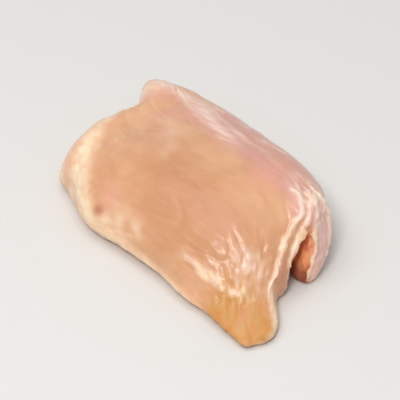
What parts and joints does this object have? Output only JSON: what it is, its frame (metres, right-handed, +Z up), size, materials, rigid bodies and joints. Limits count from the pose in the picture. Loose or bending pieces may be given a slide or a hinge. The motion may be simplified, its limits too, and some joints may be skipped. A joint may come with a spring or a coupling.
{
  "type": "raw chicken thigh",
  "caption": "Raw boneless chicken thigh without skin, folded under itself into a low rounded parcel, with a thin tongue and a narrow slit between the layers at one end.",
  "frame": {"origin": "under the middle of the bounding box, on the plane that the thigh rests on", "axes": "+X along the thigh from the folded end to the tongue, +Y from the thin near side to the thick far side, +Z up"},
  "size_m": [0.114, 0.0664, 0.0288],
  "materials": {
    "meat": "raw meat, moist and glossy, pale orange pink with cream fat and lilac membrane"
  },
  "bodies": {
    "root": {"thigh": "meat"}
  },
  "joints": []
}
